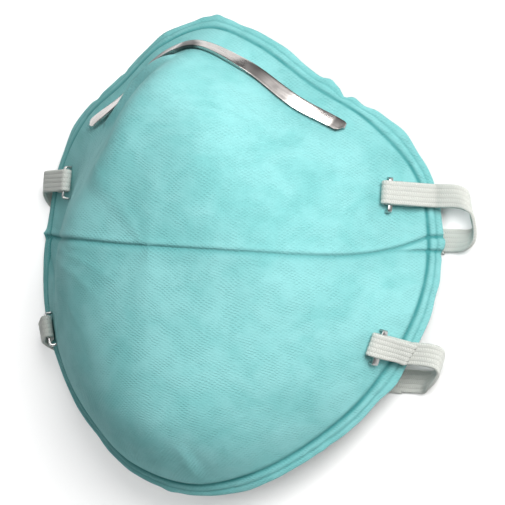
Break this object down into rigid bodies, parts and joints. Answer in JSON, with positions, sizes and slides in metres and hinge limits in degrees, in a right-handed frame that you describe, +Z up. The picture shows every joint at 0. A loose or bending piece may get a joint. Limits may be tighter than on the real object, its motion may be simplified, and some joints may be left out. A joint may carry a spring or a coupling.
{
  "type": "cup respirator mask",
  "caption": "Moulded cup face mask with a welded flange, a bent nose clip and stapled elastic head straps, lying dome up.",
  "frame": {"origin": "under the middle of the whole mask's footprint, on the surface that it lies on", "axes": "+Z up, the way the dome points; +Y toward the nose; +X toward the wearer's left"},
  "size_m": [0.1344, 0.1294, 0.0521],
  "materials": {
    "teal_nonwoven": "matte nonwoven with a fine embossed bond pattern",
    "clip_aluminium": "satin",
    "white_elastic": "matte braided elastic",
    "staple_steel": "satin"
  },
  "bodies": {
    "root": {"shell": "teal_nonwoven", "nose_clip": "clip_aluminium", "upper_strap": "white_elastic", "lower_strap": "white_elastic", "staple_upper_left": "staple_steel", "staple_upper_right": "staple_steel", "staple_lower_left": "staple_steel", "staple_lower_right": "staple_steel"}
  },
  "joints": []
}
